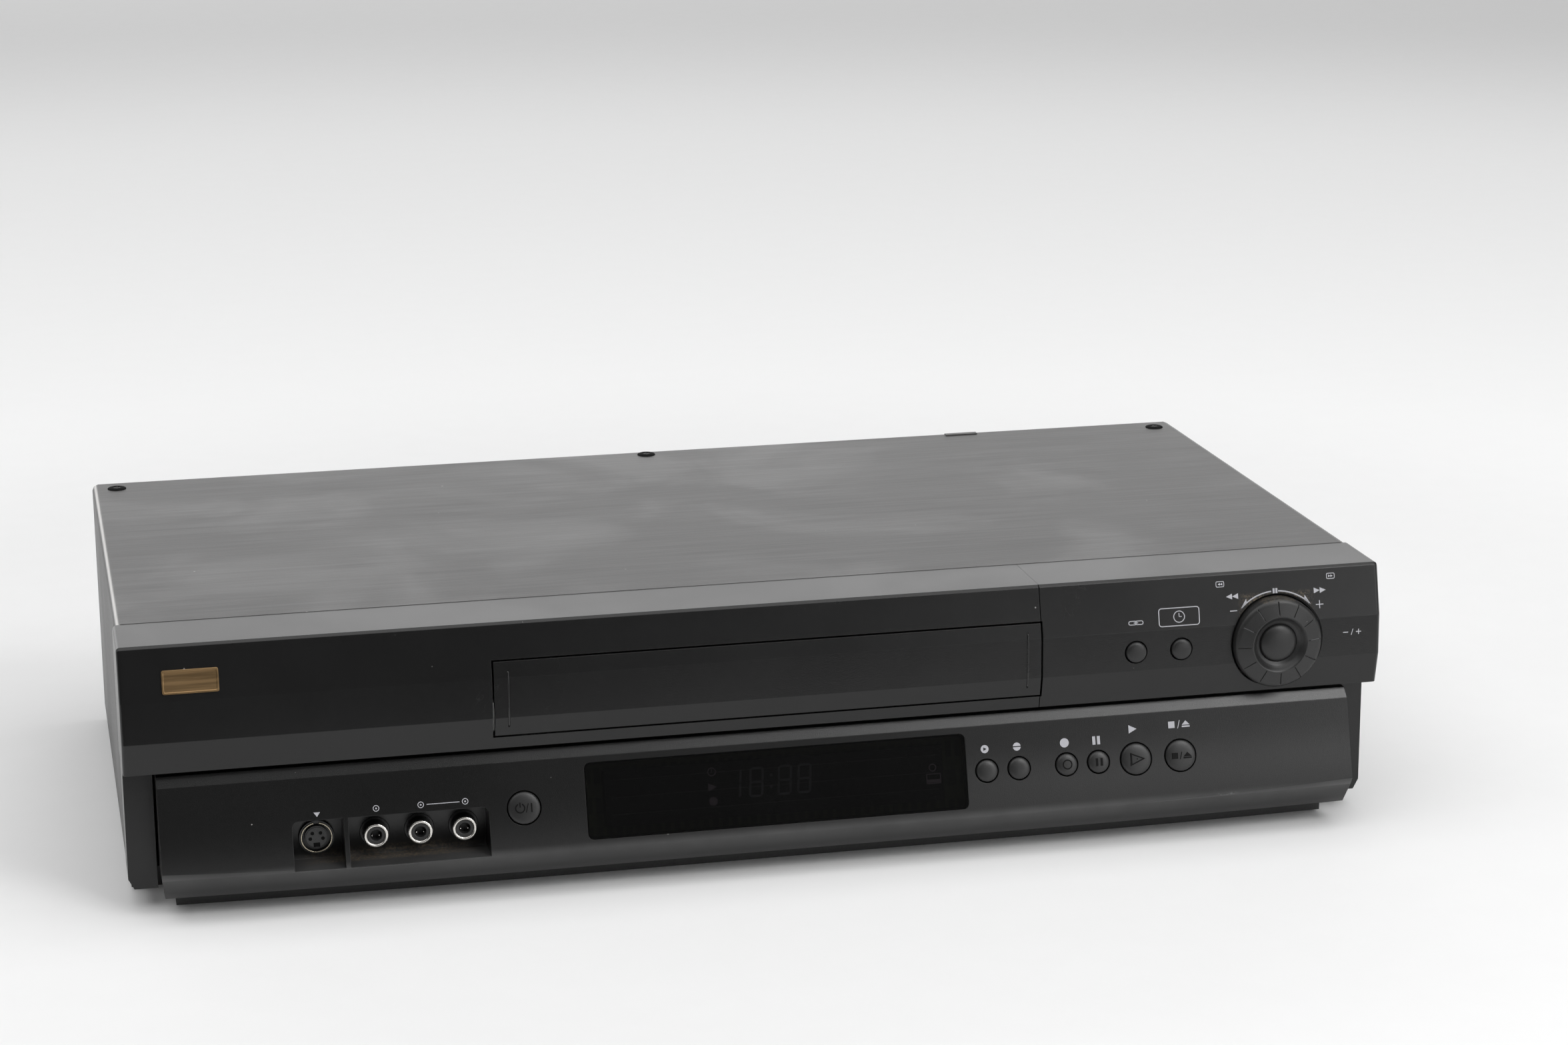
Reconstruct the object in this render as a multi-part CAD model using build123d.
from build123d import *
import math
import os

# Video cassette recorder, full-width set with a top-hung cassette door.
# Millimetres, +X right seen from the front, front faces -Y, +Z up.
# The origin is the middle of the footprint at floor level. A "station" is
# a distance behind the most forward line of the upper bezel.

os.makedirs("parts", exist_ok=True)

# ---- driving dimensions: the case ---------------------------------------
overall_w = 435.0        # across the bezel cheeks
overall_h = 94.0         # floor to top sheet
overall_d = 242.6        # chin crease to rear socket rims
socket_reach = 7.06      # rear sockets, beyond the rear edge of the cover
bezel_depth = 32.0       # bezel front to the cover joint
wall = 2.1               # moulded wall
sheet = 0.8              # cover sheet
plate_t = 1.2            # folded steel plates
board_t = 1.6            # circuit boards
cover_inset = 0.7        # cover side inside the bezel side

# ---- clearances ---------------------------------------------------------
run_fit = 0.05           # radial, pins and shafts
loose_fit = 0.25         # radial, moulded pins in moulded holes
face_fit = 0.05          # between seated faces of two pieces
seam = 0.25              # parting line of two mouldings
gap = 0.45               # play round a button
door_play = 0.65         # play round the cassette door
eps = 0.1                # sink of a boss into its own wall

# ---- the upper bezel, heights below its top edge ------------------------
upper_h = 43.1           # top edge to lower edge
lean_drop = 17.9         # top edge to the crease under the leaning facet
band_h = 14.0            # upright band between the two creases
lean_y = 4.3             # run of the leaning facet
band_y = 0.3             # run of the band
under_y = 2.4            # run of the facet that tucks under
door_drop = 12.1         # top edge to the cassette opening

# ---- the cassette and the slot that takes it ----------------------------
cassette_w = 188.0
cassette_h = 25.0
slot_play = 1.1          # each side of the cassette
slot_lift = 1.9          # above the cassette
deck_x = -0.65           # middle of the tape deck and its door

# ---- the dial -----------------------------------------------------------
dial_inset = 38.5        # dial axis from the side of the bezel
dial_r = 15.9
knob_r = 6.7
press = 0.8              # button travel

# ---- the lower panel, called the chin -----------------------------------
chin_drop = 48.2         # bezel top edge to the crease under the top strip
chin_top_y = 2.5         # station of that crease
chin_tilt = 16.0         # lean of the main chin face, degrees
chin_side = 10.6         # chin end inside the bezel side
chin_bot = 7.9           # lower edge of the tucked facet
chin_taper = 0.9         # drawing in of the tucked facet's ends
facet_mid = -1.4         # station of that edge in the middle
tuck = 0.618             # run of the tucked facet per unit of height

# ---- the tape deck ------------------------------------------------------
deck_z = 23.2            # upper face of the deck plate
seat_h = 9.6             # cassette underside over the deck, in play
nose_gap = 37.2          # cassette's inner end before the drum axis, in play
drum_r = 31.0
drum_tilt = 5.96
drum_rear = 43.2         # drum axis before the rear panel
reel_pitch = 92.0
reel_run = 92.0          # reel axes before the drum axis
gear_m = 1.0             # module of the loading gears
gear_n = 20
mgear_n = 12

# ---- derived sizes ------------------------------------------------------
half_w = overall_w / 2
bez_top = overall_h - 0.1
bez_lo = bez_top - upper_h
crease_hi = bez_top - lean_drop
crease_lo = crease_hi - band_h
door_half = cassette_w / 2 + slot_play
door_hi = bez_top - door_drop
door_lo = door_hi - cassette_h - slot_lift
left = deck_x - door_half
right = deck_x + door_half
split_x = right - 0.55
dial_x = half_w - dial_inset
dial_z = (crease_hi + crease_lo) / 2

tilt = math.radians(chin_tilt)
slope = math.tan(tilt)
chin_top = bez_top - chin_drop
chin_half = half_w - chin_side
crease_z = (facet_mid - chin_top_y + tuck * chin_bot + slope * chin_top) / (slope + tuck)
chin_reach = slope * (chin_top - crease_z) - chin_top_y
row_z = (crease_z + chin_top) / 2

bulge_y = -overall_d / 2 + chin_reach
rim = overall_d - chin_reach
cover_back = rim - socket_reach
rear_out = cover_back - sheet - 0.2
rear_in = rear_out - plate_t
drum_y = rear_in - drum_rear
reel_y = drum_y - reel_run
deck_y0 = bezel_depth + 6.0
deck_y1 = rear_in - 8.7
LOW = (Align.CENTER, Align.CENTER, Align.MIN)


def fy(back):
    """Y of a station that lies `back` behind the bezel front."""
    return bulge_y + back


def block(x0, x1, y0, y1, z0, z1):
    """Box between two x, two stations and two heights, in either order."""
    size = Box(abs(x1 - x0), abs(y1 - y0), abs(z1 - z0))
    return Pos((x0 + x1) / 2, fy((y0 + y1) / 2), (z0 + z1) / 2) * size


def prism_x(points, x0, x1):
    """Side profile of (station, height) points drawn along X."""
    outline = Polyline(*[(fy(a), b) for a, b in points], close=True)
    return extrude(Plane.YZ.offset(x0) * make_face(outline), amount=x1 - x0)


def prism_y(points, y0, y1):
    """Front outline of (x, z) points drawn back from y0 to y1."""
    face = Plane.XZ.offset(-fy(y0)) * make_face(Polyline(*points, close=True))
    return extrude(face, amount=y0 - y1)


def prism_z(points, z0, z1):
    """Plan outline of (x, station) points drawn up from z0 to z1."""
    outline = Polyline(*[(a, fy(b)) for a, b in points], close=True)
    return extrude(Plane.XY.offset(z0) * make_face(outline), amount=z1 - z0)


def upright(x, back, r, z0, z1):
    """Vertical round bar."""
    return Pos(x, fy(back), z0) * Cylinder(r, z1 - z0, align=LOW)


def bar_y(x, z, r, y0, y1):
    """Round bar along Y."""
    plane = Plane((x, fy(y0), z), x_dir=(1, 0, 0), z_dir=(0, 1, 0))
    return plane * Cylinder(r, y1 - y0, align=LOW)


def bar_x(back, z, r, x0, x1):
    """Round bar along X, its ends given in either order."""
    plane = Plane((min(x0, x1), fy(back), z), x_dir=(0, 1, 0), z_dir=(1, 0, 0))
    return plane * Cylinder(r, abs(x1 - x0), align=LOW)


def turned(points):
    """Solid of revolution about Z from (radius, height) points."""
    return revolve(Plane.XZ * make_face(Polyline(*points, close=True)), Axis.Z)


def chin_y(z):
    """Station of the main chin face at height z."""
    return chin_top_y - slope * (chin_top - z)


def chin_plane(x, z):
    """Plane on the main chin face, its normal pointing out of the set."""
    n = (0, -math.cos(tilt), math.sin(tilt))
    return Plane((x, fy(chin_y(z)), z), x_dir=(1, 0, 0), z_dir=n)


def bezel_plane(x, z):
    """Plane on the upright band of the upper bezel, facing out."""
    return Plane((x, fy(band_y / 2), z), x_dir=(1, 0, 0), z_dir=(0, -1, 0))


lean_end = (lean_y, bez_top - 0.8)


def facet_y(z):
    """Station of the upper bezel face at height z."""
    if z > crease_hi:
        return band_y + (z - crease_hi) * (lean_end[0] - band_y) / (lean_end[1] - crease_hi)
    if z > crease_lo:
        return (z - crease_lo) * band_y / band_h
    return (crease_lo - z) * under_y / (crease_lo - bez_lo)


def involute_gear(teeth, r_bore, width, phase):
    """Spur gear about Z; a tooth is centred on the angle `phase`."""
    press_a = math.radians(20)
    r_p = gear_m * teeth / 2
    r_b = r_p * math.cos(press_a)
    r_tip = r_p + 0.95 * gear_m
    r_root = r_p - 1.25 * gear_m
    inv_p = math.tan(press_a) - press_a
    half = math.pi / (2 * teeth) - 0.07 / r_p + inv_p
    flank = []
    for k in range(5):
        r = max(r_b, r_root) + (r_tip - max(r_b, r_root)) * k / 4
        a = math.acos(min(1.0, r_b / r))
        flank.append((r, half - (math.tan(a) - a)))
    points = []
    for t in range(teeth):
        mid = phase + 2 * math.pi * t / teeth
        if r_root < r_b:
            points.append((r_root, mid - flank[0][1]))
        points += [(r, mid - a) for r, a in flank]
        points += [(r, mid + a) for r, a in reversed(flank)]
        if r_root < r_b:
            points.append((r_root, mid + flank[0][1]))
    xy = [(r * math.cos(a), r * math.sin(a)) for r, a in points]
    wheel = extrude(make_face(Polyline(*xy, close=True)), amount=width)
    return wheel - Cylinder(r_bore, 3 * width)


nodes = {}

# ---- upper bezel --------------------------------------------------------
# Three facets: one leaning back to the top edge, an upright band, one
# tucking under. The moulding is open to the rear.
outer_profile = [
    (bezel_depth, bez_top),
    (lean_y + 0.9, bez_top),
    lean_end,
    (band_y, crease_hi),
    (0.0, crease_lo),
    (under_y, bez_lo),
    (bezel_depth, bez_lo),
]
ledge_y = 10.0
inner_profile = [
    (bezel_depth + 5, bez_top - wall),
    (lean_y - 0.1 + wall, bez_top - wall),
    (band_y + wall, crease_hi),
    (wall, crease_lo + 0.2),
    (under_y + wall - 0.3, bez_lo + wall),
    (ledge_y, bez_lo + wall),
    (ledge_y, bez_lo - 10.0),
    (bezel_depth + 5, bez_lo - 10.0),
]
end_round = 1.5
upper = prism_x(outer_profile, -half_w, half_w)
slanted = []
for e in upper.edges():
    c = e.center()
    on_end = abs(abs(c.X) - half_w) < 0.01
    if on_end and c.Y < fy(bezel_depth - 1) and c.Z > bez_lo + 0.1:
        slanted.append(e)
upper = fillet(slanted, end_round)
end_wall = wall + 0.6
upper -= prism_x(inner_profile, -half_w + end_wall, half_w - end_wall)
upper -= block(left, right, -5, 12, door_lo, door_hi)

# Cheeks: set back under each end of the bezel, running on down beside the
# chin, with a chamfered lower outer corner and an open back.
cheek_in = chin_half + 0.7
cheek_out = half_w - 0.2
cheek_y = 15.0
cheek_lo = 7.0
cheek_top = bez_lo + 0.7
for s in (-1, 1):
    edge = [
        (s * cheek_in, cheek_top),
        (s * cheek_in, cheek_lo),
        (s * (cheek_out - 1.9), cheek_lo),
        (s * cheek_out, cheek_lo + 3.6),
        (s * cheek_out, cheek_top),
    ]
    cheek = prism_y(edge, cheek_y, bezel_depth)
    inner = [
        (s * (cheek_in + wall), cheek_top + 8.5),
        (s * (cheek_in + wall), cheek_lo + wall),
        (s * (cheek_out - wall), cheek_lo + wall),
        (s * (cheek_out - wall), cheek_top + 8.5),
    ]
    cheek -= prism_y(inner, cheek_y + wall, bezel_depth + 5)
    upper += cheek

# Door bearings: two lugs behind the facet, one at each end of the opening.
pin_y = 7.2
pin_z = door_hi + 6.2
pin_r = 1.2
lug_w = 2.0
lug_off = door_half + 0.6
for s in (-1, 1):
    x_in = deck_x + s * lug_off
    x_out = x_in + s * lug_w
    lug = block(x_in, x_out, 3.0, pin_y + 3.0, door_hi - 2, bez_top - 1)
    lug &= prism_x(outer_profile, left - 10, right + 10)
    upper += lug
    upper -= bar_x(pin_y, pin_z, pin_r + loose_fit, x_in - s * 0.1, x_out + s * 0.1)

# A rail stiffens the top just ahead of the cover.
rail_y = bezel_depth - 9.0
upper += block(-half_w + 3, half_w - 3, rail_y, rail_y + 2.0, bez_top - 4.6, bez_top - 1)

# The control bezel takes over beside the door, with a hairline parting.
far = 400.0
slab = block(split_x - seam / 2, split_x + seam / 2, -10, 40, 0, 120)
left_half = block(-far, split_x, -10, 40, 0, 120)
right_half = block(split_x, far, -10, 40, 0, 120)
front_bezel = (upper & left_half) - slab
control_bezel = (upper & right_half) - slab

# Dial cup: a round well with a floor and a hole for the hub.
cup_floor = 8.6
cup_r = dial_r + 0.5
hub_hole_r = 5.4
cup = bar_y(dial_x, dial_z, cup_r + 1.5, 0.0, cup_floor + 1.4)
cup &= prism_x(outer_profile, dial_x - 30, dial_x + 30)
control_bezel += cup
control_bezel -= bar_y(dial_x, dial_z, cup_r, -5, cup_floor)
control_bezel -= bar_y(dial_x, dial_z, hub_hole_r, -5, 20)

upper_btn_x = [dial_x - 51.1, dial_x - 34.7]
upper_btn_z = dial_z - 0.3
small_r = 3.75
big_r = 5.4
link_r = 3.6
for x in upper_btn_x:
    control_bezel -= bar_y(x, upper_btn_z, link_r + gap, -5, 6)

nodes["front_bezel"] = front_bezel
nodes["control_bezel"] = control_bezel

# ---- cassette door ------------------------------------------------------
d0 = left + door_play
d1 = right - door_play
door_top = door_hi - door_play
door_bot = door_lo + door_play
door_t = 2.0
front_line = [(facet_y(door_top), door_top), (band_y, crease_hi), (0.0, crease_lo),
              (facet_y(door_bot), door_bot)]
door = prism_x(front_line + [(y + door_t, z) for y, z in reversed(front_line)], d0, d1)
# Two upright lines cut in the face near the ends.
line_y = [(facet_y(z) + 0.5, z) for z in (crease_hi + 2.3, crease_hi, crease_lo, crease_lo - 3.4)]
line_cut = [(-1, crease_hi + 2.3)] + line_y + [(-1, crease_lo - 3.4)]
for s in (-1, 1):
    x = deck_x + s * (door_half - 5.35)
    door -= prism_x(line_cut, x - 0.3, x + 0.3)
# Ears at the ends rise behind the facet and carry the hinge pins.
ear_w = 2.4
ear_lo = door_top - 7.35
ear_profile = [
    (facet_y(ear_lo) + 1.0, ear_lo),
    (facet_y(door_top) + 1.0, door_top),
    (pin_y - 2.3, door_top + 0.4),
    (pin_y - 1.7, pin_z),
    (pin_y - 0.8, pin_z + 1.35),
    (pin_y + 0.8, pin_z + 1.35),
    (pin_y + 1.8, pin_z),
    (pin_y + 1.0, door_top - 2),
    (facet_y(ear_lo) + 4.3, ear_lo),
]
for s in (-1, 1):
    e_out = d1 if s > 0 else d0
    e_in = e_out - s * ear_w
    door += prism_x(ear_profile, min(e_in, e_out), max(e_in, e_out))
    door += bar_x(pin_y, pin_z, pin_r, e_in, deck_x + s * (lug_off + lug_w + 0.4))
nodes["cassette_door"] = door

# ---- lower panel (chin) -------------------------------------------------
# A leaning main face under a sloping top strip; the lower facet tucks
# back under and is bowed in plan, straight in the middle and curving
# away towards the ends.
chin_back = 12.5
bow = 2.6
bow_x = 90.0
bow_r = (chin_half - bow_x) ** 2 / (2 * bow)


def bow_back(x):
    """How far the bowed line falls back at x."""
    return max(0.0, abs(x) - bow_x) ** 2 / (2 * bow_r)


def bowed_region(base, half):
    """Plan face between a line far ahead and the bowed line."""
    lx = half + 12
    mid = (lx + bow_x) / 2
    ahead = fy(-60)
    end = fy(base + bow_back(lx))
    waist = fy(base + bow_back(mid))
    line = [
        Line((-lx, ahead), (lx, ahead)),
        Line((lx, ahead), (lx, end)),
        ThreePointArc((lx, end), (mid, waist), (bow_x, fy(base))),
        Line((bow_x, fy(base)), (-bow_x, fy(base))),
        ThreePointArc((-bow_x, fy(base)), (-mid, waist), (-lx, end)),
        Line((-lx, end), (-lx, ahead)),
    ]
    return make_face(Wire(line))


strip_y = chin_top_y + 3.1
strip_z = chin_top + 3.0


def chin_body(inset):
    """Chin solid, shrunk by `inset` on its visible faces."""
    low = chin_bot + inset
    f_low = chin_y(low) + inset / math.cos(tilt)
    top = chin_top - inset * 0.25
    f_top = chin_y(top) + inset / math.cos(tilt)
    lid = strip_z - inset * 1.2
    back = 40.0 if inset else chin_back
    side = [(back, low), (f_low, low), (f_top, top), (strip_y + inset * 1.3, lid), (back, lid)]
    body = prism_x(side, -chin_half + inset, chin_half - inset)
    cut = Plane.XY.offset(chin_bot) * bowed_region(facet_mid + inset * 1.18, chin_half)
    rise = 20.0
    vec = Vector(0, -tuck * rise, rise)
    return body - extrude(cut, amount=vec.length, dir=vec.normalized())


chin_outer = chin_body(0)
# Lower outer corners taper in under the crease.
for s in (-1, 1):
    chin_outer -= prism_y([(s * (chin_half + 0.3), crease_z + 2.8),
                           (s * (chin_half - chin_taper), chin_bot - 0.2),
                           (s * (chin_half + 5), chin_bot - 0.2)], -12, 20)
chin = chin_outer - chin_body(wall)

# A rear web closes the slit between the chin and the bezel above it.
chin += block(-chin_half + 0.4, chin_half - 0.4, chin_back - eps, chin_back + 1.5,
              chin_top + 0.9, bez_lo + 2.6)

# Socket recess on the left: two bays parted by a web, floor at the crease.
bay_x0 = -163.7
bay_x1 = -98.4
web_x = -146.0
web_t = 1.6
bay_lo = crease_z + 0.43
bay_hi = bay_lo + 15.9
bay_back = 6.4
bay_corner = 2.2
skin = 1.5
shell = block(bay_x0 - skin, bay_x1 + skin, -12, bay_back + skin, bay_lo - skin, bay_hi + skin)
chin += shell & chin_outer
for x_far, s in ((bay_x0, -1), (bay_x1, 1)):
    bay = block(x_far, web_x + s * web_t / 2, -12, bay_back, bay_lo, bay_hi)
    far_edges = [e for e in bay.edges().filter_by(Axis.Y) if abs(e.center().X - x_far) < eps]
    chin -= fillet(ShapeList(far_edges).sort_by(Axis.Z)[-1], bay_corner)

# Window opening with round corners, cut square to the leaning face.
win_x0 = -65.4
win_x1 = 67.0
win_z0 = crease_z + 3.03
win_z1 = chin_top - 2.2
win_xm = (win_x0 + win_x1) / 2
win_zm = (win_z0 + win_z1) / 2
win_v = (win_z1 - win_z0) / math.cos(tilt)
win_w = win_x1 - win_x0
win_face = chin_plane(win_xm, win_zm)
chin -= extrude(win_face * RectangleRounded(win_w, win_v, 2.0), amount=5, both=True)

small_x = [74.2, 85.7, 102.8, 114.3]
big_x = [-86.5, 127.9, 144.1]
for x in small_x:
    chin -= chin_plane(x, row_z) * Cylinder(small_r + gap, 12)
for x in big_x:
    chin -= chin_plane(x, row_z) * Cylinder(big_r + gap, 12)

# Socket holes in the back wall of the recess.
rca_x = [-135.8, -120.95, -106.1]
s_x = -155.3
jack_z = bay_lo + 7.7
rca_r = 4.15
front_shoulder_r = 4.9
s_r = 5.8
hole_fit = 0.1
for x in rca_x:
    chin -= bar_y(x, jack_z, front_shoulder_r + hole_fit, 2, 12)
chin -= bar_y(s_x, jack_z, s_r + hole_fit, 2, 12)

# Pegs from the back of the chin carry the front board.
board_back = 11.0
peg_z = row_z - 8.0
for x in (-76.0, 94.2, 153.0):
    foot = chin_plane(x, peg_z).offset(-wall + 0.2)
    chin += extrude(foot * Circle(1.6), amount=-(board_back - wall + 0.2))
nodes["lower_panel"] = chin

# ---- display ------------------------------------------------------------
pane_t = 2.0
pane = extrude(win_face.offset(0.25) * RectangleRounded(win_w - 0.3, win_v - 0.3, 1.9),
               amount=-pane_t)
core = extrude(win_face.offset(-1.7) * RectangleRounded(win_w - 1.5, win_v - 1.5, 1.5), amount=-0.8)
lip = extrude(win_face.offset(-wall - face_fit) * RectangleRounded(win_w + 5, win_v + 3.4, 3.0),
              amount=-1.0)
nodes["display_window"] = pane + core + lip

tube_u = win_w - 14.4
tube_v = win_v - 6.9
tube_t = 5.6
tube_in = 4.4
tube = extrude(win_face.offset(-tube_in) * Rectangle(tube_u, tube_v), amount=-tube_t)
leg_v = -tube_v / 2 + 1.2
for s in (-1, 1):
    for k in range(7):
        leg = Pos(s * (12 + 7 * k), leg_v) * Rectangle(0.8, 0.8)
        tube += extrude(win_face.offset(-tube_in - tube_t) * leg, amount=-1.0)
nodes["display_tube"] = tube

# ---- front board and switches ------------------------------------------
fb_x0 = small_x[0] - 168.7
fb_x1 = big_x[2] + 11.9
fb_v = (chin_top - crease_z) / math.cos(tilt) - 4.3
fb_face = chin_plane((fb_x0 + fb_x1) / 2, row_z).offset(-board_back)
nodes["front_board"] = extrude(fb_face * Rectangle(fb_x1 - fb_x0, fb_v), amount=-board_t)

# Upper board behind the dial, upright, with the encoder and two switches,
# pierced where the encoder's collar stands.
up_board_y = 11.2
db_x0 = dial_x - 60.0
db_x1 = dial_x + 22.0
db_z0 = dial_z - 13.0
db_z1 = dial_z + 17.0
collar_r = 4.4
dial_board = block(db_x0, db_x1, up_board_y, up_board_y + board_t, db_z0, db_z1)
nodes["dial_board"] = dial_board - bar_y(dial_x, dial_z, collar_r + hole_fit, 5, 20)
# Pegs hold it off the control bezel.
for x in (db_x0 + 2.5, dial_x - 24.0):
    for z in (db_z0 + 2.5, db_z1 - 3.0):
        nodes["control_bezel"] += bar_y(x, z, 1.8, facet_y(z) + 1.0, up_board_y)

# ---- buttons ------------------------------------------------------------
stem_end = 6.6
cap_depth = 3.4
plunger_top = stem_end + press + 0.2
plunger_h = 1.2


def button(r, proud):
    """Push button about Z: face up at `proud`, edge chamfer, catch and stem."""
    b = turned([(0, proud), (r - 0.5, proud), (r, proud - 0.45), (r, -cap_depth), (0, -cap_depth)])
    b += Pos(0, 0, -cap_depth - 1.0) * Box(2 * (r + 1.3), 3.0, 1.0 + eps, align=LOW)
    return b + Pos(0, 0, -stem_end) * Box(2.6, 2.6, 3.0, align=LOW)


def tact(depth):
    """Tact switch under a button: can on the board, plunger towards it."""
    t = Pos(0, 0, -depth) * Box(6.0, 6.0, depth - plunger_top - plunger_h + 0.3, align=LOW)
    return t + Pos(0, 0, -plunger_top - plunger_h) * Box(2.4, 2.4, plunger_h, align=LOW)


lower_names = ["insert_button", "dub_button", "record_button", "pause_button"]
for name, x in zip(lower_names, small_x):
    nodes[name] = chin_plane(x, row_z) * button(small_r, 0.7)
for name, x in zip(["power_button", "play_button", "stop_button"], big_x):
    nodes[name] = chin_plane(x, row_z) * button(big_r, 0.8)
for name, x in zip(["link_button", "timer_button"], upper_btn_x):
    nodes[name] = bezel_plane(x, upper_btn_z) * button(link_r, 0.9)

tacts = [chin_plane(x, row_z) * tact(board_back) for x in small_x + big_x]
tacts += [bezel_plane(x, upper_btn_z) * tact(up_board_y - band_y / 2) for x in upper_btn_x]
nodes["tact_switches"] = Compound(tacts)

# ---- shuttle ring, jog knob, encoder -----------------------------------
dial_plane = Plane((dial_x, fy(0), dial_z), x_dir=(1, 0, 0), z_dir=(0, -1, 0))
ring_in = knob_r + 0.35
web_r0 = 3.0
ring = turned([
    (ring_in, -6.0),
    (ring_in, 2.0),
    (ring_in + 0.85, 1.9),
    (ring_in + 2.15, 3.9),
    (ring_in + 2.85, 4.2),
    (dial_r - 1.1, 3.0),
    (dial_r, 1.9),
    (dial_r, -5.4),
    (dial_r - 1.6, -5.4),
    (dial_r - 1.6, -0.6),
    (ring_in + 3.55, -0.6),
    (ring_in + 3.55, -7.4),
    (web_r0, -7.4),
    (web_r0, -6.0),
])
stem_r = 1.5
bore_r = stem_r + run_fit
hub = turned([(bore_r, -9.6), (bore_r, -6.9), (4.0, -6.9), (4.0, -9.6)])
web = turned([(bore_r, -7.4), (bore_r, -6.0), (4.0, -6.0), (4.0, -7.4)])
nodes["shuttle_ring"] = dial_plane * (ring + web + hub)
knob = turned([(0, 3.9), (knob_r * 0.51, 3.55), (knob_r * 0.84, 2.7), (knob_r, 1.6),
               (knob_r, -4.6), (0, -4.6)])
knob += Pos(0, 0, -9.7) * Cylinder(stem_r, 6.0, align=LOW)
nodes["jog_knob"] = dial_plane * knob
enc_half = 6.5
collar = bar_y(dial_x, dial_z, collar_r, up_board_y - 0.6, up_board_y + board_t + 0.2)
encoder = block(dial_x - enc_half, dial_x + enc_half, up_board_y + board_t, up_board_y + 7.0,
                dial_z - enc_half, dial_z + enc_half)
nodes["encoder"] = encoder + collar

# ---- front sockets ------------------------------------------------------
neck_r = rca_r - 0.2
lip_c = 0.35


def phono(mouth_y, back_y, shoulder_y, shoulder_r):
    """Phono socket about Z, mouth up: bored barrel, neck and shoulder.

    The three stations are counted from mouth to back; the barrel is round
    and full size between its chamfered mouth and the neck at the shoulder.
    """
    s = abs(shoulder_y - mouth_y)
    b = abs(back_y - mouth_y)
    return turned([
        (1.9, 0), (rca_r - lip_c, 0), (rca_r, -lip_c), (rca_r, lip_c - s), (neck_r, lip_c - s),
        (neck_r, -s), (shoulder_r, -s), (shoulder_r, -b), (0, -b), (0, -4.2), (1.9, -4.2),
    ])


jb_y = bay_back + 3.0
mouth_y = 1.6
front_mouth = [Plane((x, fy(mouth_y), jack_z), x_dir=(1, 0, 0), z_dir=(0, -1, 0)) for x in rca_x]
front_jack = phono(mouth_y, jb_y, bay_back, front_shoulder_r)
nodes["front_phono_sockets"] = Compound([p * front_jack for p in front_mouth])
sock_y = 5.2
sock = bar_y(s_x, jack_z, s_r, sock_y, jb_y)
key_ring = bar_y(s_x, jack_z, 4.9, 4.0, sock_y + 1.2) - bar_y(s_x, jack_z, 4.0, 4.0, sock_y + 1.2)
nodes["front_s_socket"] = sock - key_ring
nodes["jack_board"] = block(bay_x0 - 2.3, bay_x1 + 1.4, jb_y, jb_y + board_t, bay_lo - 3.0,
                            bay_hi + 4.1)

# ---- base pan -----------------------------------------------------------
pan_z = 1.0
pan_t = 2.2
side_gap = 0.2
pan_half = half_w - cover_inset - sheet - side_gap
pan_rear = rear_in - 0.2
pan_step = bezel_depth + 2.0
pan_side_top = 20.0
plinth_half = half_w - 15.5
plinth_y = 10.6


def pan_outline(inset):
    """Plan of the pan: bowed front edge, then full width behind it."""
    n = 6
    p = plinth_half - inset
    arc_x = [bow_x + (p - bow_x) * k / n for k in range(n + 1)]
    front = [-x for x in reversed(arc_x)] + arc_x
    pts = [(x, plinth_y + bow_back(x) + inset) for x in front]
    h = pan_half - inset
    pts += [(p, pan_step + inset), (h, pan_step + inset), (h, pan_rear - inset)]
    return pts + [(-h, pan_rear - inset), (-h, pan_step + inset), (-p, pan_step + inset)]


floor_z = pan_z + pan_t
pan = prism_z(pan_outline(0), pan_z, chin_bot)
pan -= prism_z(pan_outline(wall), floor_z, chin_bot + 12)
for s in (-1, 1):
    pan += block(s * pan_half, s * (pan_half - wall), pan_step, pan_rear, pan_z, pan_side_top)
# Ribs along the floor and slots that let air in under the boards.
rib_pitch = 50.0
rib_h = 2.0
for k in range(-3, 4):
    pan += block(k * rib_pitch - 0.8, k * rib_pitch + 0.8, 16.0, pan_rear - 2.0, floor_z - eps,
                 floor_z + rib_h)
vent_y0 = rear_in - 107.2
vent_y1 = vent_y0 + 40.0
vent_x0 = half_w - 91.5
for k in range(7):
    x = vent_x0 + 10.0 * k
    if abs(x - 3 * rib_pitch) > 3:
        for s in (-1, 1):
            pan -= block(s * x - 1.6, s * x + 1.6, vent_y0, vent_y1, 0, floor_z + eps)
foot_r = 9.0
foot_h = 1.8
foot_x = half_w - 41.5
foot_spots = [(s * foot_x, y) for s in (-1, 1) for y in (bezel_depth - 4.0, rear_in - 21.2)]
for x, y in foot_spots:
    pan -= upright(x, y, foot_r + hole_fit, 0.5, foot_h)

# Posts: under the deck corners and under each board.
deck_half = cassette_w / 2 + 14.0
deck_lo = deck_z - plate_t
for sx in (-1, 1):
    for y in (deck_y0 + 8.0, deck_y1 - 6.5):
        pan += upright(deck_x + sx * (deck_half - 12.0), y, 4.0, floor_z - eps, deck_lo)
board_z = 12.0
board_top = board_z + board_t
board_edge = half_w - 10.5
board_y1 = rear_in - 9.2
main_area = (deck_half + 4.0, board_edge, bezel_depth + 12.0, board_y1)
power_area = (-board_edge, -deck_half - 4.0, rear_in - 143.2, board_y1)
for x0, x1, y0, y1 in (main_area, power_area):
    for x in (x0 + 5, x1 - 5):
        for y in (y0 + 5, y1 - 5):
            pan += upright(x, y, 3.0, floor_z - eps, board_z)
nodes["base_pan"] = pan
nodes["feet"] = Compound([upright(x, y, foot_r, 0.0, foot_h) for x, y in foot_spots])

# ---- top cover and rear panel ------------------------------------------
c_half = half_w - cover_inset
cover_front = bezel_depth + 0.3
cover_lo = 6.4
bend = 2.2


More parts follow.
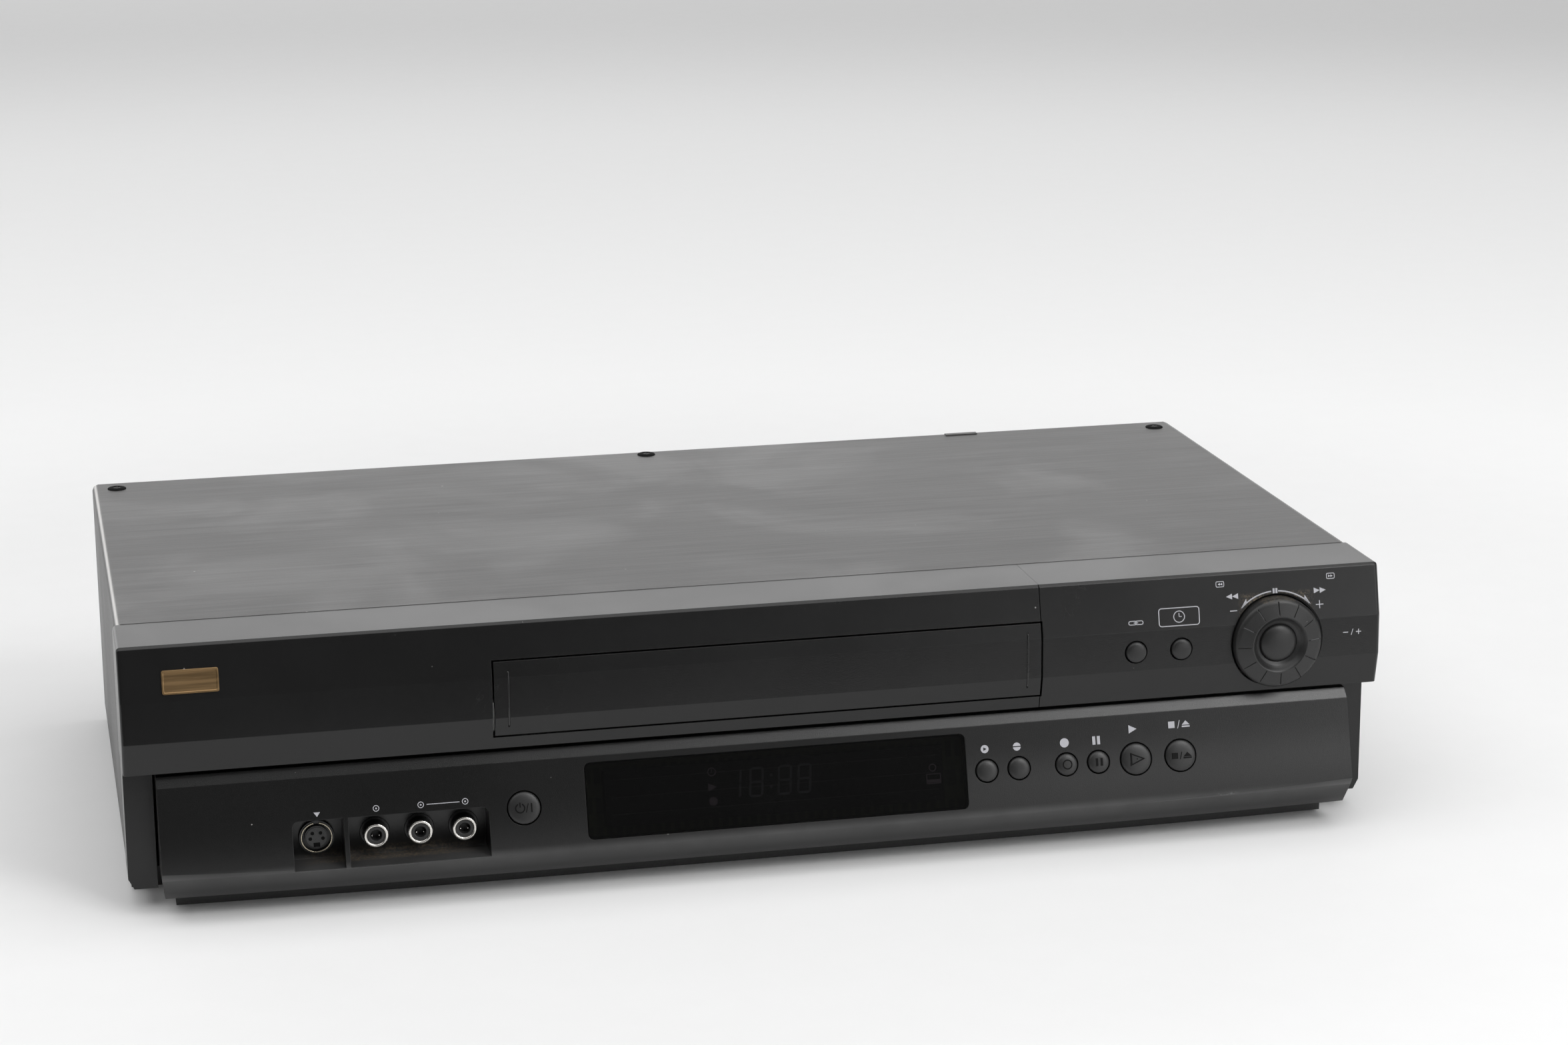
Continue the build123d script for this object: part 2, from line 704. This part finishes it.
def cover_ring(inset, drop):
    """Cross-section of the bent sheet, shrunk by `inset`."""
    a = c_half - inset
    t = overall_h - inset
    r = bend - inset
    k = r * (1 - math.sqrt(0.5))
    return [(-a, drop), (-a, t - r), (-a + k, t - k), (-a + r, t), (a - r, t), (a - k, t - k),
            (a, t - r), (a, drop)]


cover = prism_y(cover_ring(0, cover_lo), cover_front, cover_back)
cover -= prism_y(cover_ring(sheet, 0.0), cover_front - 1, cover_back + 1)
# The rear edge is folded down over the rear panel, with one low tab on top.
cover += block(-c_half + 4, c_half - 4, cover_back - sheet, cover_back, overall_h - 6.0,
               overall_h - 0.3)
tab_x = 121.8
cover += block(tab_x, tab_x + 13.0, cover_back - 2.6, cover_back, overall_h - 0.3, overall_h + 0.4)
nodes["top_cover"] = cover

screw_x = half_w - 9.7
screw_y = cover_back - 8.5
screw_spots = [(-screw_x, screw_y), (-1.4, cover_back - 4.0), (screw_x, screw_y)]
screw_r = 3.55
screw_h = 0.6
head = turned([(0, 0), (screw_r, 0), (screw_r, 0.25), (screw_r - 0.6, screw_h), (0, screw_h)])
nodes["cover_screws"] = Compound([Pos(x, fy(y), overall_h) * head for x, y in screw_spots])

rear_half = pan_half - 0.2
rear_top = overall_h - sheet - 0.1
rear_lo = pan_z + 0.4
corner = 1.6
rear = prism_y([(-rear_half, rear_lo), (-rear_half, rear_top - corner), (-rear_half + corner, rear_top),
                (rear_half - corner, rear_top), (rear_half, rear_top - corner), (rear_half, rear_lo)],
               rear_in, rear_out)
# A fold along the top of the rear panel carries the cover.
rear += block(-rear_half + 10, rear_half - 10, rear_in - 6.0, rear_in + eps, rear_top - plate_t,
              rear_top)
rear_rca = [(x, z) for z in (24.0, 40.0) for x in (30.0, 50.0, 70.0)]
can_x0 = main_area[0] + 14.0
can_x1 = half_w - 31.5
aerial_x = (can_x0 + can_x1) / 2 + 4.0
aerial = [(aerial_x, 28.0), (aerial_x, 52.0)]
aerial_r = 4.7
inlet_x = 39.5 - half_w
inlet_z = 26.0
shoulder_r = 5.1
rear_shoulder = rear_out + 0.3
for x, z in rear_rca:
    rear -= bar_y(x, z, shoulder_r + gap, rear_in - 1, rear_out + 1)
for x, z in aerial:
    rear -= bar_y(x, z, aerial_r + 0.6, rear_in - 1, rear_out + 1)
rear -= block(inlet_x - 11.0, inlet_x + 11.0, rear_in - 1, rear_out + 1, inlet_z - 9.0, inlet_z + 9.0)
slot_z0 = overall_h - 36.0
slot_z1 = overall_h - 14.0
for k in range(12):
    x = -150.0 + 9.0 * k
    rear -= block(x - 1.5, x + 1.5, rear_in - 1, rear_out + 1, slot_z0, slot_z1)
nodes["rear_panel"] = rear

# ---- rear sockets -------------------------------------------------------
rear_jack = phono(rim, rear_in - face_fit, rear_shoulder, shoulder_r)
jacks = []
for x, z in rear_rca:
    jacks.append(Plane((x, fy(rim), z), x_dir=(1, 0, 0), z_dir=(0, 1, 0)) * rear_jack)
nodes["rear_phono_sockets"] = Compound(jacks)
nodes["rear_socket_block"] = block(21.0, 79.0, rear_in - 7.4, rear_in - face_fit, 14.5, 48.5)
stubs = []
for x, z in aerial:
    stubs.append(bar_y(x, z, aerial_r, rear_in - 7.0, rim) - bar_y(x, z, 1.2, rim - 5.0, rim))
nodes["aerial_sockets"] = Compound(stubs)
nodes["tuner_can"] = block(can_x0, can_x1, rear_in - 33.0, rear_in - 7.0, board_top, 66.0)
flange_t = 1.6
inlet = block(inlet_x - 10.7, inlet_x + 10.7, rear_in - 16.0, rear_out, inlet_z - 8.7, inlet_z + 8.7)
inlet += block(inlet_x - 14.0, inlet_x + 14.0, rear_out, rear_out + flange_t, inlet_z - 11.0,
               inlet_z + 11.0)
well = [(-8, -5.5), (8, -5.5), (8, 3.0), (5.5, 5.5), (-5.5, 5.5), (-8, 3.0)]
inlet -= prism_y([(inlet_x + a, inlet_z + b) for a, b in well], rear_out - 12.0, rear_out + 2.0)
for px in (-4.0, 4.0):
    inlet += block(inlet_x + px - 1.0, inlet_x + px + 1.0, rear_out - 12.5, rear_out - 2.0,
                   inlet_z - 1.5, inlet_z + 1.5)
nodes["mains_inlet"] = inlet

# ---- boards and power parts --------------------------------------------
for name, area in (("main_board", main_area), ("power_board", power_area)):
    nodes[name] = block(*area, board_z, board_top)
core_x = (power_area[0] + power_area[1]) / 2 + 9.5
core_y = rear_in - 83.2
core_w = 36.0
coil_w = 17.0
core = block(core_x - core_w / 2, core_x + core_w / 2, core_y - 16.0, core_y + 16.0, board_top,
             board_top + 30.0)
core -= block(core_x - 11.0, core_x + 11.0, core_y - 24.0, core_y + 26.0, board_top + 6.0,
              board_top + 24.0)
core += block(core_x - coil_w / 2, core_x + coil_w / 2, core_y - 24.0, core_y + 24.0,
              board_top + 1.0, board_top + 28.0)
nodes["transformer"] = core
cans = []
x = power_area[0] + 4.0
for r, h in ((11.0, 32.0), (8.0, 25.0), (6.0, 20.0)):
    x += r
    cans.append(upright(x, power_area[2] + 15.0 + r, r, board_top, board_top + h))
    x += r + 2.0
nodes["capacitors"] = Compound(cans)

# ---- deck plate ---------------------------------------------------------
deck = block(deck_x - deck_half, deck_x + deck_half, deck_y0, deck_y1, deck_lo, deck_z)
for s in (-1, 1):
    out = deck_x + s * deck_half
    deck += block(out, out - s * plate_t, deck_y0 + 12.0, deck_y1 - 12.5, deck_lo - 5.0, deck_lo + eps)
guide_a = (30.0, drum_y - 50.0)
guide_b = (44.0, drum_y + 12.0)
g_len = math.hypot(guide_b[0] - guide_a[0], guide_b[1] - guide_a[1])
g_ang = math.degrees(math.atan2(guide_b[1] - guide_a[1], guide_b[0] - guide_a[0]))
key_half = 2.05


def guide_turn(s):
    """Turn of a guide's track on side s of the drum."""
    return Rot(0, 0, g_ang if s > 0 else 180 - g_ang)


for s in (-1, 1):
    mid_x = deck_x + s * (guide_a[0] + guide_b[0]) / 2
    track = Box(g_len + 9.0, 2 * (key_half + 0.15), plate_t + 2)
    deck -= Pos(mid_x, fy((guide_a[1] + guide_b[1]) / 2), deck_z) * guide_turn(s) * track
cap_x = deck_x + 62.0
cap_y = drum_y - 26.0
cap_r = 1.75
cap_top = 56.0
deck += upright(cap_x, cap_y, 5.0, deck_lo - 2.6, deck_z + 8.0)
deck -= upright(cap_x, cap_y, cap_r + run_fit, 0, 60)
arm_z = cap_top - 3.0
pin_spots = {
    "supply": (deck_x - reel_pitch / 2, reel_y, 2.0, deck_z + 17.8),
    "takeup": (deck_x + reel_pitch / 2, reel_y, 2.0, deck_z + 17.8),
    "idler": (deck_x, reel_y - 14.0, 2.0, deck_z + 2.3),
    "pinch": (deck_x + 86.0, drum_y - 8.0, 2.2, arm_z + 3.0),
    "tension": (deck_x - 66.0, drum_y - 66.0, 2.0, deck_z + 5.8),
}
for x, y, r, top in pin_spots.values():
    deck += upright(x, y, r, deck_lo + eps, top)
nodes["deck_plate"] = deck

# ---- deck side frames ---------------------------------------------------
side_in = cassette_w / 2 + 9.0
side_y0 = deck_y0 + 2.0
side_y1 = drum_y - 8.0
side_top = overall_h - 5.4
slide_y0 = bezel_depth + 12.0
slide_y1 = slide_y0 + 34.0
cage_y1 = slide_y0 + 36.0
load_in = drum_y - nose_gap - (cage_y1 - plate_t)
gear_y = drum_y - 72.0
rack_z = overall_h - 10.0
gear_z = rack_z - gear_m * gear_n / 2
mgear_z = gear_z - gear_m * (gear_n + mgear_n) / 2
gear_x = deck_x + side_in - 3.7
gear_w = 2.2
axle_r = 1.5
sides = []
for s in (-1, 1):
    x0 = deck_x + s * side_in
    x1 = x0 + s * plate_t
    plate = block(x0, x1, side_y0, side_y1, deck_z, side_top)
    plate -= block(x0 - s, x1 + s, side_y0 + 10.0, gear_y - 16.0, deck_z + 10.8, side_top - 12.6)
    plate -= block(x0 - s, x1 + s, gear_y + 16.0, side_y1 - 8.0, deck_z + 10.8, side_top - 8.6)
    plate += block(x0, x0 + s * 4.6, side_y0, side_y1, deck_z, deck_z + plate_t)
    if s > 0:
        plate += bar_x(gear_y, gear_z, axle_r, gear_x - 0.2, x0 + eps)
        plate -= bar_x(gear_y, mgear_z, 3.0, x0 - 1, x1 + 1)
    sides.append(plate)
nodes["deck_sides"] = Compound(sides)

# ---- loader slide with rack --------------------------------------------
ls_in = cassette_w / 2 + 3.0
pin_rows = (slide_y0 + 6.0, slide_y0 + 28.0)
cage_lo = door_lo - 0.1
load_down = cage_lo - deck_z - seat_h
pin_h = cage_lo + 13.2
cage_pin = 1.5
bridge_z = side_top + 0.25
slot_end = cage_pin + 0.2
loader = block(deck_x - side_in - 2.6, deck_x + side_in + 2.6, slide_y0 + 8.0, slide_y0 + 28.0,
               bridge_z, bridge_z + plate_t)
for s in (-1, 1):
    x0 = deck_x + s * ls_in
    x1 = x0 + s * plate_t
    side = block(x0, x1, slide_y0, slide_y1, pin_h - load_down - 4.5, bridge_z + eps)
    for y in pin_rows:
        side -= block(x0 - s, x1 + s, y - cage_pin - 0.1, y + cage_pin + 0.1,
                      pin_h - load_down - slot_end, pin_h + slot_end)
    loader += side
rack_x0 = gear_x + 0.1
rack_x1 = gear_x + gear_w - 0.1
bar0 = gear_y - load_in - 4.5
bar1 = gear_y + 4.5
root = rack_z + 1.25 * gear_m
loader += block(deck_x + ls_in + 0.2, rack_x1, bar0, bar1, root, root + 2.6)
pitch = math.pi * gear_m
teeth_n = int((bar1 - bar0) / pitch) - 1
first = gear_y - pitch * (math.floor((gear_y - bar0) / pitch) - 0.5)
tan_a = math.tan(math.radians(20))
half_t = pitch / 4 - 0.07
w_root = half_t + 1.25 * gear_m * tan_a
w_tip = half_t - 0.95 * gear_m * tan_a
tip_z = rack_z - 0.95 * gear_m
for k in range(teeth_n):
    c = first + pitch * k
    if c + pitch / 2 > bar1 or c - pitch / 2 < bar0:
        continue
    loader += prism_x([(c - w_root, root + face_fit), (c - w_tip, tip_z), (c + w_tip, tip_z),
                       (c + w_root, root + face_fit)], rack_x0, rack_x1)
nodes["loader_slide"] = loader

# Loading gear on its pin, motor gear on the motor's shaft.
gear_at = Plane((gear_x, fy(gear_y), gear_z), x_dir=(0, 1, 0), z_dir=(1, 0, 0))
mgear_at = Plane((gear_x, fy(gear_y), mgear_z), x_dir=(0, 1, 0), z_dir=(1, 0, 0))
nodes["loading_gear"] = gear_at * involute_gear(gear_n, axle_r + run_fit, gear_w, math.pi / 2)
half_step = math.pi / mgear_n
shaft_r = 1.1
shaft_len = 16.0
pinion = involute_gear(mgear_n, 0.9, gear_w, math.pi / 2 + half_step)
nodes["motor_gear"] = mgear_at * (pinion + Cylinder(shaft_r, shaft_len, align=LOW))
mot_x = deck_x + side_in + plate_t + 0.3
motor = bar_x(gear_y, mgear_z, 10.0, mot_x, mot_x + 24.0)
nodes["loading_motor"] = motor - bar_x(gear_y, mgear_z, shaft_r + run_fit, mot_x - 1,
                                       gear_x + shaft_len + 0.4)

# ---- cassette carriage --------------------------------------------------
cage_in = cassette_w / 2 + 0.6
cage_hi = cage_lo + cassette_h + 1.4
cage_y0 = slide_y0
cage = block(deck_x - cage_in, deck_x + cage_in, cage_y0, cage_y1, cage_hi, cage_hi + plate_t)
cage -= block(deck_x - 60.0, deck_x + 60.0, cage_y0 + 12, cage_y1 - 8, cage_hi - 1, cage_hi + 3)
for s in (-1, 1):
    x0 = deck_x + s * cage_in
    x1 = x0 + s * plate_t
    shelf = deck_x + s * (cage_in - 20.6)
    cage += block(x0, x1, cage_y0, cage_y1, cage_lo - plate_t, cage_hi + plate_t)
    cage += block(x0, shelf, cage_y0, cage_y1, cage_lo - plate_t, cage_lo)
    cage += block(x0, shelf, cage_y1 - plate_t, cage_y1, cage_lo - eps, cage_hi + eps)
    for y in pin_rows:
        cage += bar_x(y, pin_h, cage_pin, x1 - s * eps, deck_x + s * (ls_in + plate_t + 0.5))
nodes["cassette_carriage"] = cage

# ---- drum ---------------------------------------------------------------
lean = math.radians(drum_tilt)
drum_at = Plane((deck_x, fy(drum_y), deck_z + 5.0), x_dir=(math.cos(lean), 0, math.sin(lean)),
                z_dir=(-math.sin(lean), 0, math.cos(lean)))
low_h = 11.0
drum_gap = 0.4
up_h = 14.0
spindle_r = 2.5
spindle_bore = spindle_r + run_fit
ledge = 0.8
lower_drum = drum_at * turned([
    (spindle_bore, -2.0), (spindle_bore, low_h), (drum_r, low_h), (drum_r, low_h - 7.0),
    (drum_r - ledge, low_h - 7.5), (drum_r - ledge, 0.0), (12.0, 0.0), (12.0, -2.0),
])
stand = upright(deck_x, drum_y, 20.0, deck_z, deck_z + 7.0)
nodes["lower_drum"] = lower_drum + (stand - drum_at * Cylinder(spindle_bore, 60.0))
z1 = low_h + drum_gap
z2 = z1 + up_h
upper_drum = drum_at * turned([
    (0, -1.5), (spindle_r, -1.5), (spindle_r, z1), (drum_r, z1), (drum_r, z2 - 0.8),
    (drum_r - 0.8, z2), (24.0, z2), (22.0, z2 - 4.0), (9.0, z2 - 4.0), (8.0, z2 + 0.6), (0, z2 + 0.6),
])
for a in (0, 90, 180, 270):
    upper_drum -= drum_at * (Rot(0, 0, a) * Pos(drum_r, 0, z1) * Box(1.6, 2.4, 2.0, align=LOW))
nodes["upper_drum"] = upper_drum

# ---- guides -------------------------------------------------------------
lift = 0.3
shoe = Box(9.0, 8.0, 3.6, align=LOW)
key = Pos(0, 0, -2.6) * Box(7.0, 2 * key_half, 3.0, align=LOW)
pad = Pos(0, 0, -4.4) * Box(9.0, 8.0, 1.8, align=LOW)
post = turned([
    (0, 3.0), (1.6, 3.0), (1.6, 6.6), (3.6, 6.6), (3.6, 7.6), (3.0, 7.6), (3.0, 22.4),
    (3.6, 22.4), (3.6, 23.6), (1.4, 23.6), (1.4, 25.2), (0, 25.2),
])
for name, s in (("supply_guide", -1), ("takeup_guide", 1)):
    guide = guide_turn(s) * (shoe + key + pad) + post
    nodes[name] = Pos(deck_x + s * guide_a[0], fy(guide_a[1]), deck_z + lift) * guide

# ---- heads --------------------------------------------------------------
ex = deck_x - 60.0
nodes["erase_head"] = block(ex - 5.0, ex + 5.0, drum_y - 21.0, drum_y - 13.0, deck_z, deck_z + 20.0)
hx = deck_x + 56.0
head = block(hx - 5.5, hx + 5.5, drum_y - 2.0, drum_y + 8.0, deck_z, deck_z + 4.0)
nodes["audio_head"] = head + block(hx - 4.0, hx + 4.0, drum_y - 1.0, drum_y + 6.0, deck_z + 3.9,
                                   deck_z + 24.0)

# ---- capstan ------------------------------------------------------------
fly_z = 12.6
fly_r = 21.0
flywheel = upright(cap_x, cap_y, fly_r, fly_z, fly_z + 5.0)
flywheel -= upright(cap_x, cap_y, fly_r - 6.0, fly_z - 1, fly_z + 2.6)
nodes["capstan"] = flywheel + upright(cap_x, cap_y, cap_r, fly_z - 0.9, cap_top)
stator_lo = fly_z - 3.4
stator_hi = fly_z - 1.8
st = block(cap_x - 24.0, cap_x + 24.0, cap_y - 24.0, cap_y + 24.0, stator_lo, stator_hi)
for a, b in ((-22, -22), (22, -22), (22, 22)):
    st += upright(cap_x + a, cap_y + b, 1.8, stator_hi - eps, deck_lo)
for k in range(6):
    a = math.radians(60 * k)
    st += upright(cap_x + 9.0 * math.cos(a), cap_y + 9.0 * math.sin(a), 3.0, stator_hi - eps,
                  fly_z + 1.8)
nodes["capstan_stator"] = st

# ---- pinch arm and roller ----------------------------------------------
px, py, pr, ptop = pin_spots["pinch"]
roller_r = 6.5
roller_pin = 1.5
r_rest = (px - 8.2, py - 20.55)
arm_len = math.hypot(r_rest[0] - px, r_rest[1] - py)
arm_ang = math.degrees(math.atan2(r_rest[1] - py, r_rest[0] - px))
arm = Pos(px, fy(py), arm_z - 20.0) * Cylinder(4.4, 22.0, align=LOW)
beam = Pos(arm_len / 2, 0, 0) * Box(arm_len, 7.0, 2.0, align=LOW)
arm += Pos(px, fy(py), arm_z) * Rot(0, 0, arm_ang) * beam
arm += upright(*r_rest, 3.5, arm_z, arm_z + 2.0)
arm += upright(*r_rest, roller_pin, arm_z - 19.0, arm_z + eps)
nodes["pinch_arm"] = arm - upright(px, py, pr + run_fit, 0, 80)
roller = upright(*r_rest, roller_r, arm_z - 18.0, arm_z - 0.6)
nodes["pinch_roller"] = roller - upright(*r_rest, roller_pin + run_fit, 0, 80)

# ---- reel tables --------------------------------------------------------
def reel_table(x, y, bore):
    """Reel table: rimmed disc and a spindle with three fins."""
    t = turned([(bore, 0.6), (22.0, 0.6), (22.0, 4.6), (20.0, 4.6), (19.0, 2.6), (9.0, 2.6),
                (9.0, 5.0), (7.6, 5.0), (7.0, 19.0), (5.0, 21.0), (bore, 21.0)])
    for k in range(3):
        t += Rot(0, 0, 120 * k) * Pos(8.2, 0, 4.4) * Box(3.0, 1.6, 12.0, align=LOW)
    return Pos(x, fy(y), deck_z) * t


for name in ("supply", "takeup"):
    x, y, r, top = pin_spots[name]
    nodes[name + "_reel"] = reel_table(x, y, r + run_fit)

# ---- idler --------------------------------------------------------------
ix, iy, ir, itop = pin_spots["idler"]
wheel_y = iy + 16.0
wheel_r = 15.0
wheel_pin = 1.4
wheel_bore = wheel_pin + run_fit
arm_lo = deck_z + 0.3
arm_hi = deck_z + 1.5
idler = upright(ix, iy, 4.0, arm_lo, arm_hi + 0.3)
idler += block(ix - 3.0, ix + 3.0, iy, wheel_y, arm_lo, arm_hi)
idler += upright(ix, wheel_y, 3.0, arm_lo, arm_hi)
idler += upright(ix, wheel_y, wheel_pin, arm_hi - eps, deck_z + 7.0)
nodes["idler_arm"] = idler - upright(ix, iy, ir + run_fit, 0, 60)
wheel = turned([
    (wheel_bore, 0.0), (4.0, 0.0), (4.0, 1.0), (wheel_r, 1.0), (wheel_r, 3.2), (4.0, 3.2),
    (4.0, 4.4), (wheel_bore, 4.4),
])
nodes["idler_wheel"] = Pos(ix, fy(wheel_y), deck_z + 1.8) * wheel

# ---- tension arm --------------------------------------------------------
tx, ty, tr, ttop = pin_spots["tension"]
tip = (tx + 26.0, ty + 19.0)
t_len = math.hypot(tip[0] - tx, tip[1] - ty)
t_ang = math.degrees(math.atan2(tip[1] - ty, tip[0] - tx))
lever = Pos(t_len / 2, 0, 0) * Box(t_len, 4.0, 1.4, align=LOW)
tension = Pos(tx, fy(ty), deck_z + 0.4) * Cylinder(4.0, 4.6, align=LOW)
tension += Pos(tx, fy(ty), deck_z + 2.0) * Rot(0, 0, t_ang) * lever
tension += upright(*tip, 2.2, deck_z + 1.0, deck_z + 26.0)
nodes["tension_arm"] = tension - upright(tx, ty, tr + run_fit, 0, 60)

# ---- write --------------------------------------------------------------
for name, shape in nodes.items():
    solids = shape.solids()
    out = solids[0] if len(solids) == 1 else Compound(solids)
    out.label = name
    export_step(out, "parts/" + name + ".step")
    print(name, len(solids), round(sum(s.volume for s in solids)))
